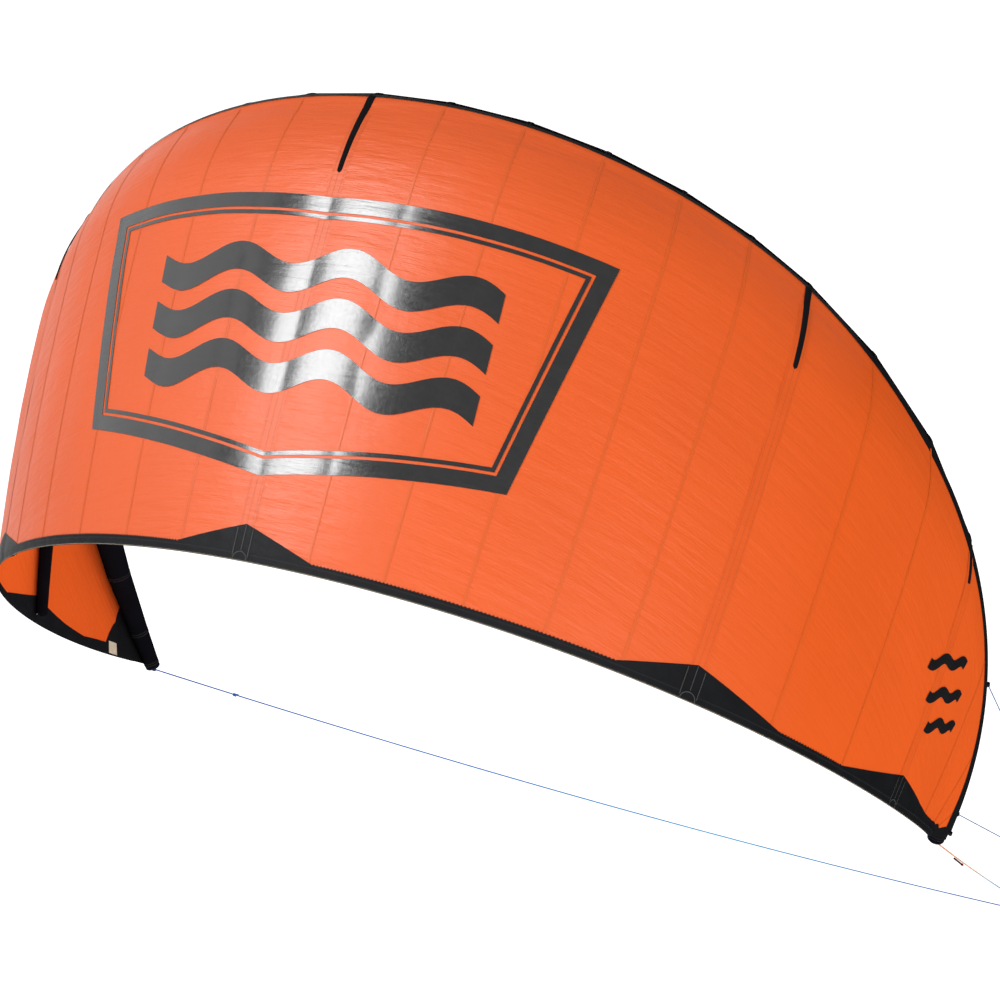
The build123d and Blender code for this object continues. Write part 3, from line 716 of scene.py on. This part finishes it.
def batten_sleeves():
    """Padded glossy sleeves with the profile battens, tapering towards their rounded ends."""
    def taper(place):
        return (1.25 - 0.45 * place) * math.sqrt(max(0.0, 1 - max(0.0, (place - 0.95) / 0.05) ** 2)) + 0.01

    for strut_name, station in STRUTS.items():
        start = BATTEN_FRONT * front_share(station)
        reach = BATTEN_SHARE[strut_name.split("_")[0]]
        path = [(station, share) for share in steps(start, reach, 56)]
        piece = ribbon(f"batten_{strut_name}", path, BATTEN_WIDTH, 0.0016, BATTEN,
                       0.0055, 11, taper)
        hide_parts(f"batten_sleeve_{strut_name}")


# ---------------------------------------------------------------- trailing edge
# Half the band's thickness, and the share of its width and of that half along its folded section
HEM_HALF = 0.0017
HEM_FOLD = ((0.0, 1.0), (0.25, 1.05), (0.5, 1.0), (0.75, 1.0), (0.95, 0.9), (1.0, 0.0), (0.95, -0.9),
            (0.5, -1.0), (0.0, -1.0))


def hem_piece(side_name, side):
    """Doubled band folded round the trailing edge."""
    stations = [side * place for place in steps(0.0, 1.0, 240)]
    edge_at = HEM_FOLD.index((1.0, 0.0))
    across = [(place if index <= edge_at else 2 - place) * HEM_WIDTH
              for index, (place, _) in enumerate(HEM_FOLD)]
    rows, uv_rows, run = [], [], 0.0
    for station in stations:
        start = hem_share(station)
        row = [skin(station, start + (1 - start) * place, height * HEM_HALF - CLOTH / 2)
               for place, height in HEM_FOLD]
        if rows:
            run += (row[edge_at] - rows[-1][edge_at]).length
        rows.append(row)
        uv_rows.append([(run, distance) for distance in across])
    piece = grid(f"trailing_band_{side_name}", rows, uv_rows, HEM)
    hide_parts(f"trailing_hem_{side_name}")
    hem_zigzag(side_name, side)
    edge = [(station, 0.9985) for station in stations[::2]]
    ribbon(f"edge_thread_{side_name}", edge, 0.003, 0.0012, THREAD_EDGE, 0.0006, 3)


def hem_zigzag(side_name, side):
    """Dense zigzag stitching over the band's upper edge, with its teeth on the canopy."""
    teeth = round(TE_HALF_ARC / ZIGZAG_LENGTH)
    rows, uv_rows = [], []
    for index in range(2 * teeth + 1):
        station = side * index / (2 * teeth)
        chord = rib(station)[3]
        top = hem_share(station) - ZIGZAG_HEIGHT * (index % 2) / chord
        low = hem_share(station) + 0.003 / chord
        rows.append([skin(station, share, 0.0018) for share in (top, low)])
        uv_rows.append([(station * LE_HALF_ARC, share * chord) for share in (top, low)])
    grid(f"hem_zigzag_{side_name}", rows, uv_rows, PATCH)


def cloth_patch(name, stations, front, material, lift):
    """Reinforcement on one face of the cloth, from front(station) to the hem."""
    rows, uv_rows = [], []
    for station in stations:
        chord = rib(station)[3]
        shares = steps(front(station), hem_share(station) + 0.001, 14)
        rows.append([skin(station, share, lift) for share in shares])
        uv_rows.append([(station * LE_HALF_ARC, share * chord) for share in shares])
    return grid(name, rows, uv_rows, material)


def strut_patches():
    """Triangular reinforcements at the struts' ends, on both faces, with stitch rows and half discs."""
    for strut_name, middle in STRUTS.items():
        inner, outer = PATCH_SPANS[strut_name.split("_")[0]]
        side = side_of(middle)
        stations = steps(middle - side * inner, middle, 21) + steps(middle, middle + side * outer, 21)[1:]

        def front(station):
            span = outer if (station - middle) * side > 0 else inner
            reach = 0.004 + PATCH_LENGTH * (1 - abs(station - middle) / span)
            return hem_share(station) - reach / rib(station)[3]

        piece = cloth_patch(f"patch_{strut_name}", stations, front, PATCH, 0.0014)
        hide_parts(f"strut_patch_{strut_name}")
        cloth_patch(f"patch_under_{strut_name}", stations, front, PATCH, -CLOTH - 0.0014)
        for row, offset in enumerate((-0.036, 0.0, 0.036)):
            station = middle + offset / LE_HALF_ARC
            reach = (PATCH_LENGTH - abs(offset) * 0.35) / rib(station)[3]
            path = [(station, share) for share in steps(hem_share(station) - reach, 0.998, 24)]
            ribbon(f"patch_stitching_{strut_name}_{row}", path, 0.010, 0.0022, STITCH_ROW,
                   0.0003, 3)
        half_disc(f"strut_end_{strut_name}", middle)


def half_disc(name, middle):
    """Small rounded patch over a strut's end at the trailing edge."""
    rows, uv_rows = [], []
    for ring in steps(0.0, DISC_RADIUS, 8):
        row, uv_row = [], []
        for turn in steps(0.0, math.pi, 25):
            a, b = ring * math.cos(turn), ring * math.sin(turn)
            row.append(skin(middle + a / TE_HALF_ARC, 0.996 - b / rib(middle)[3], 0.0028))
            uv_row.append((turn * DISC_RADIUS, ring - DISC_STITCH))
        rows.append(row)
        uv_rows.append(uv_row)
    grid(name, rows, uv_rows, STITCH_ROW)


def tip_patches():
    """Black reinforcement from the outer struts' patches to the tips, and the blank label on it."""
    places = steps(STRUT_2, 0.86, 24)[:-1] + steps(0.86, 0.99, 60)[:-1] + steps(0.99, 1.0, 3)
    for side_name, side in SIDES.items():
        stations = [side * place for place in places]
        for face, ramp, lift in (("outside", TIP_PATCH_OUTSIDE, 0.0011),
                                 ("inside", TIP_PATCH_INSIDE, -CLOTH - 0.0011)):
            def front(station):
                return max(front_share(station), broken_line(ramp, abs(station)))

            cloth_patch(f"tip_patch_{face}_{side_name}", stations, front, PATCH, lift)
    label = [(0.888 + 0.0131 * place, 0.907 - 0.0077 * place) for place in steps(-1.0, 1.0, 6)]
    ribbon("blank_label", label, LABEL_WIDTH, -CLOTH - 0.0024, LABEL)


# ---------------------------------------------------------------- printed panel
WAVE_MIDDLES = (0.735, 0.935, 1.135)
WAVE_ENDS = (-0.72, 0.75)
WAVE_SWING = 0.042
WAVE_LENGTH = 0.49
WAVE_LEAN = 0.05
WAVE_HALF = 0.058


def on_cloth(a, b):
    """Point of the print: a metres along the span and b metres behind the leading edge."""
    return skin(a / LE_HALF_ARC, b / CENTRE_CHORD, PRINT_LIFT)


def inset(polygon, distance):
    """The polygon with every side moved inwards by distance."""
    moved = []
    count = len(polygon)
    for index in range(count):
        before, here, after = (Vector(polygon[(index + k) % count]) for k in (-1, 0, 1))
        first, second = (here - before).normalized(), (after - here).normalized()
        first_in, second_in = Vector((-first.y, first.x)), Vector((-second.y, second.x))
        reach = (first_in + second_in) / (1 + first_in.dot(second_in))
        moved.append(tuple(here + reach * distance))
    return moved


def print_band(name, outer, inner, closed):
    """Printed band between two outlines with the same number of corners."""
    if closed:
        outer, inner = outer + outer[:1], inner + inner[:1]
    rows, uv_rows = [], []
    for index in range(len(outer) - 1):
        ends = [Vector(point) for point in (outer[index], outer[index + 1], inner[index], inner[index + 1])]
        count = max(1, round((ends[1] - ends[0]).length / 0.015))
        for step in range(count + (index == len(outer) - 2)):
            place = step / count
            near, far = ends[0].lerp(ends[1], place), ends[2].lerp(ends[3], place)
            spots = [near.lerp(far, share) for share in steps(0.0, 1.0, 8)]
            rows.append([on_cloth(spot.x, spot.y) for spot in spots])
            uv_rows.append([tuple(spot) for spot in spots])
    grid(name, rows, uv_rows, FOIL)


def wave_outline(middle):
    """One edge of a wavy band: points (a, b) round middle, leaning a little to the right tip."""
    return [(a - WAVE_LEAN * middle, middle + WAVE_SWING * math.sin(2 * math.pi * a / WAVE_LENGTH))
            for a in steps(*WAVE_ENDS, 90)]


def printed_panel():
    """A six-sided border, a thin inner line, and three wavy bands: a generic motif."""
    border = [(1.110, 0.404), (0.970, 1.386), (0.0, 1.546), (-0.970, 1.386), (-1.110, 0.404), (0.0, 0.438)]
    print_band("print_border", border, inset(border, 0.062), True)
    print_band("print_line", inset(border, 0.074), inset(border, 0.090), True)
    for number, middle in enumerate(WAVE_MIDDLES):
        edges = [wave_outline(middle + shift) for shift in (-WAVE_HALF, WAVE_HALF)]
        print_band(f"print_wave_{number}", *edges, False)


def tip_marks():
    """Three short wavy bars on each tip bay: a generic mark."""
    for side_name, side in SIDES.items():
        for number, height in enumerate((0.12, 0.5, 0.88)):
            ends = [Vector(low).lerp(Vector(high), height) for low, high in TIP_MARK]
            path = []
            for place in steps(0.0, 1.0, 40):
                spot = ends[0].lerp(ends[1], place)
                path.append((side * spot.x, spot.y + 0.012 * math.sin(4 * math.pi * place)))
            ribbon(f"tip_mark_{side_name}_{number}", path, 0.045, 0.0022, MARK, 0.0, 7)


# ---------------------------------------------------------------- inflated tubes
def tube_frame(station):
    """Centre, two unit vectors across the leading edge tube, and its radius."""
    small = 0.0005
    ahead = leading_edge(min(station + small, 1.0))
    axis = (ahead - leading_edge(max(station - small, -1.0))).normalized()
    out = outward(station)
    out = (out - axis * out.dot(axis)).normalized()
    return leading_edge(station), out, axis.cross(out), tube_radius(station)


def tube_ring(frames, place, grow):
    """Ring of points between two frames of the tube, and its distances round the tube."""
    centre, out, across, radius = (first + (second - first) * place for first, second in zip(*frames))
    points, turns = ring_round(centre, out, across, radius + grow, TUBE_SIDES)
    return points, [(turn - math.pi * 0.5) * radius for turn in turns]


def leading_tube(name, first, last, side):
    """One bay of the leading edge sleeve: straight cones, drawn in a little at their seams."""
    seams = [side * seam for seam in SEAMS if first <= seam <= last]
    rows, uv_rows, run = [], [], 0.0
    for start, end in zip(seams, seams[1:]):
        frames = (tube_frame(start), tube_frame(end))
        length = (frames[1][0] - frames[0][0]).length
        count = max(4, round(length / 0.02))
        for index in range(count + (end == seams[-1])):
            place = index / count
            pinch = -0.0018 * math.exp(-min(place, 1 - place) * length / 0.012)
            points, distances = tube_ring(frames, place, pinch)
            rows.append(points)
            uv_rows.append([(run + length * place, distance) for distance in distances])
        run += length
    return grid(name, rows, uv_rows, TUBE)


def leading_edge_pieces():
    """The sleeve's bays, the tapes on their seams, and the flap that holds the canopy."""
    for side_name, side in SIDES.items():
        for bay_name, (first, last) in BAYS.items():
            piece = leading_tube(f"leading_tube_{bay_name}_{side_name}", first, last, side)
            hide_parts(f"leading_sleeve_{bay_name}_{side_name}")
        for number, seam in enumerate(SEAMS[:-1]):
            if seam == 0.0 and side < 0:
                continue
            seam_tape(f"seam_tape_{side_name}_{number}", side * seam, 0.022)
        seam_tape(f"seam_tape_{side_name}_end", side * 0.996, 0.024)
    canopy_flap()


def canopy_flap():
    """Black flap that holds the canopy on the tube, wider towards the tips."""
    def width(station):
        return broken_line(FLAP_WIDTHS, abs(station))

    path = [(station, front_share(station) + (width(station) / 2 - 0.008) / rib(station)[3])
            for station in steps(-0.99, 0.99, 300)]
    ribbon("canopy_flap", path, 1.0, 0.0015, PATCH, 0.0, 9,
           lambda place: width(1.98 * place - 0.99))


# Share of a tape's width, and its height over the tube there: its edges are under the surface
TAPE_SECTION = ((0.0, -0.001), (0.06, 0.0008), (0.35, 0.0012), (0.65, 0.0012), (0.94, 0.0008),
                (1.0, -0.001))


def seam_tape(name, station, width):
    """Band of tape round the leading edge tube."""
    half = width / 2 / LE_HALF_ARC
    frames = (tube_frame(max(-1.0, station - half)), tube_frame(min(1.0, station + half)))
    rows, uv_rows = [], []
    for place, grow in TAPE_SECTION:
        points, distances = tube_ring(frames, place, grow)
        rows.append(points)
        uv_rows.append([(distance, (place - 0.5) * width) for distance in distances])
    grid(name, rows, uv_rows, TAPE)


def strut_tube(strut_name, station):
    """One strut: a tube along the rib just under the cloth, closed behind."""
    origin, along, out, chord, radius = rib(station)
    binormal = along.cross(out)
    front = STRUT_REAR_RADIUS + STRUT_RADIUS_PER_CHORD * chord
    rows, uv_rows = [], []
    shares = steps(0.5 * radius / chord, hem_share(station), 90)
    for share in shares:
        width = front + (STRUT_REAR_RADIUS - front) * share
        centre = origin + along * (share * chord) + out * (rib_point(station, share)[1] - width - STRUT_GAP)
        width *= STRUT_POINT + (share < shares[-1])
        points, turns = ring_round(centre, out, binormal, width, STRUT_SIDES)
        rows.append(points)
        uv_rows.append([(share * chord, (turn - math.pi) * width) for turn in turns])
    piece = grid(f"strut_{strut_name}", rows, uv_rows, STRUT)
    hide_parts(f"strut_sleeve_{strut_name}")


# ---------------------------------------------------------------- lines
def line_curve(name, route, diameter, material, node):
    """A taut line on a smooth curve through its route."""
    curve = bpy.data.curves.new(name, "CURVE")
    curve.dimensions = "3D"
    curve.bevel_depth = diameter / 2
    curve.bevel_resolution = 3
    curve.resolution_u = 24
    spline = curve.splines.new("NURBS")
    spline.points.add(len(route) - 1)
    for point, place in zip(spline.points, route):
        point.co = (*place, 1.0)
    spline.order_u = 3
    spline.use_endpoint_u = True
    piece = add_piece(name, curve, material)
    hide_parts(node)
    return piece


def steering_lines():
    """Both steering lines, each to the eye at its far end."""
    left = line_curve("line_left", LEFT_LINE, LINE_DIAMETER, LINE_BLUE,
                      "steering_line_left")
    tails = [knot_tail("knot_tail_up", 1), knot_tail("knot_tail_down", -1)]
    right = line_curve("line_right", RIGHT_LINE, LINE_DIAMETER, LINE_ORANGE,
                       "steering_line_right")
    sleeve_whipping()


def knot_tail(name, lean):
    """One of the two short ends that stand out of the left line's knot."""
    start = Vector(LEFT_KNOT)
    run = (Vector(LEFT_LINE[1]) - Vector(LEFT_LINE[0])).normalized()
    side = run.cross(Vector((0, 1, 0))).normalized()
    rows, uv_rows = [], []
    for place in steps(0.0, 1.0, 7):
        centre = start + side * (lean * TAIL_LENGTH * place) + run * (TAIL_BEND * place * place)
        radius = LINE_DIAMETER / 2 * (1.0 if place < 1 else 0.2)
        points, turns = ring_round(centre, run, Vector((0, 1, 0)), radius, 12)
        rows.append(points)
        uv_rows.append([(turn * radius, place * TAIL_LENGTH) for turn in turns])
    return grid(name, rows, uv_rows, LINE_BLUE)


def sleeve_whipping():
    """Red whipping round the lower end of the right line's sleeve."""
    start, end = SLEEVE_END
    axis = (end - start).normalized()
    side = axis.orthogonal().normalized()
    across = axis.cross(side)
    rows, uv_rows = [], []
    for place, radius in WHIPPING_SECTION:
        points, turns = ring_round(end + axis * place, side, across, radius, 16)
        rows.append(points)
        uv_rows.append([(turn * radius, place) for turn in turns])
    return grid("sleeve_whipping", rows, uv_rows, WHIPPING)


def bridle_route(index):
    """A leg's start in its loop, its slack middle and its end at the pulley's sheave."""
    runs = [(start - BRIDLE_MEETING).normalized() for start in BRIDLE_STARTS]
    half_angle = runs[0].angle(runs[1]) / 2
    start = BRIDLE_STARTS[index]
    end = BRIDLE_MEETING + runs[index] * (SHEAVE_WRAP / math.tan(half_angle))
    return start, (start + end) / 2 + BRIDLE_BOW, end


def bridle_lines():
    """Both legs of the right front bridle, down to the pulley."""
    for index, leg in enumerate(("front", "rear")):
        route = bridle_route(index)
        piece = line_curve(f"bridle_{leg}", route, BRIDLE_DIAMETER, LINE_STEEL,
                           f"bridle_leg_{leg}")


# ---------------------------------------------------------------- CAD pieces that stay
NODE_MATERIALS = {
    "tip_cap": TIP_CLOTH, "bridle_loop": WEBBING, "steering_loop": WEBBING, "steering_ring": WEBBING,
    "inflate_valve_body": PLASTIC, "deflate_valve_body": PLASTIC, "inflate_valve_cap": RUBBER,
    "deflate_valve_cap": RUBBER, "leading_bladder": FILM, "strut_bladder": FILM, "bridle_": LINE_STEEL,
    "pulley_housing": METAL, "pulley_sheave": NYLON, "line_eye_left": LINE_BLUE,
    "line_knot_left": LINE_BLUE, "line_eye_right": LINE_ORANGE, "line_sleeve_right": SLEEVING,
}


def finish_nodes():
    """Gives the CAD pieces that stay in view their materials."""
    for node_name, piece in nodes.items():
        found = [material for start, material in NODE_MATERIALS.items() if node_name.startswith(start)]
        if found:
            piece.data.materials.clear()
            piece.data.materials.append(found[0])


# ---------------------------------------------------------------- stage
SURROUNDINGS = 0.28
FLOOR_HALF = 60.0
FLOOR_GAP = 0.2
FLOOR_GLOW = 0.76
# Name, place, aim, size and power of each light
LIGHTS = (
    ("strip", (2.9, 0.75, 6.9), (0.0, 0.9, 0.0), (4.8, 2.4), 360.0),
    ("wide", (6.5, 0.5, 2.5), (0.8, 0.9, -0.8), (6.0, 6.0), 60.0),
    ("rear", (-3.0, 8.5, 6.0), (-0.6, 1.0, -1.2), (5.0, 5.0), 350.0),
    ("fill", (-7.0, 5.0, 2.5), (-1.0, 1.0, -1.5), (5.0, 5.0), 260.0),
)


def add_area(name, place, aim, size, power):
    """Soft rectangular light."""
    light = bpy.data.lights.new(name, "AREA")
    light.shape = "RECTANGLE"
    light.size, light.size_y = size
    light.energy = power
    lamp = add_object(name, light)
    lamp.location = place
    lamp.rotation_euler = (Vector(aim) - Vector(place)).to_track_quat("-Z", "Y").to_euler()


def add_camera():
    """Camera behind, above and to the right of the kite."""
    level = math.cos(CAMERA_ELEVATION)
    towards = Vector((math.sin(CAMERA_AZIMUTH) * level, math.cos(CAMERA_AZIMUTH) * level,
                      math.sin(CAMERA_ELEVATION)))
    data = bpy.data.cameras.new("camera")
    data.lens = CAMERA_LENS
    data.sensor_width = SENSOR
    data.clip_end = 100
    camera = add_object("camera", data)
    camera.location = CAMERA_TARGET + towards * CAMERA_DISTANCE
    camera.rotation_mode = "QUATERNION"
    camera.rotation_quaternion = (-towards).to_track_quat("-Z", "Y") @ Quaternion((0, 0, 1), CAMERA_ROLL)
    bpy.context.scene.camera = camera


def add_stage():
    """Pale floor under the lines' ends, white surroundings and soft lights."""
    world = bpy.data.worlds.new("surroundings")
    bpy.context.scene.world = world
    world.use_nodes = True
    background = world.node_tree.nodes["Background"]
    background.inputs["Color"].default_value = (1.0, 1.0, 1.0, 1.0)
    background.inputs["Strength"].default_value = SURROUNDINGS
    bpy.context.scene.view_settings.view_transform = "Standard"
    low = cad_box[0].z - FLOOR_GAP
    mesh = bpy.data.meshes.new("floor")
    corners = [(x * FLOOR_HALF, y * FLOOR_HALF, low) for x, y in ((-1, -1), (1, -1), (1, 1), (-1, 1))]
    mesh.from_pydata(corners, [], [(0, 1, 2, 3)])
    floor = add_object("floor", mesh)
    paint = Shader("floor_paint", (0.93, 0.93, 0.93), 0.9, Emission_Strength=FLOOR_GLOW)
    paint.set("Emission Color", (1.0, 1.0, 1.0, 1.0))
    mesh.materials.append(paint.material)
    for light in LIGHTS:
        add_area(*light)


add_camera()
steering_lines()
bridle_lines()
for side_name, side in SIDES.items():
    for bay_name, (first, last) in BAYS.items():
        canopy_bay(f"canopy_{bay_name}_{side_name}", side * first, side * last)
    hem_piece(side_name, side)
chordwise_seams()
strut_seams()
batten_sleeves()
strut_patches()
tip_patches()
printed_panel()
tip_marks()
leading_edge_pieces()
for strut_name, station in STRUTS.items():
    strut_tube(strut_name, station)
finish_nodes()
add_stage()
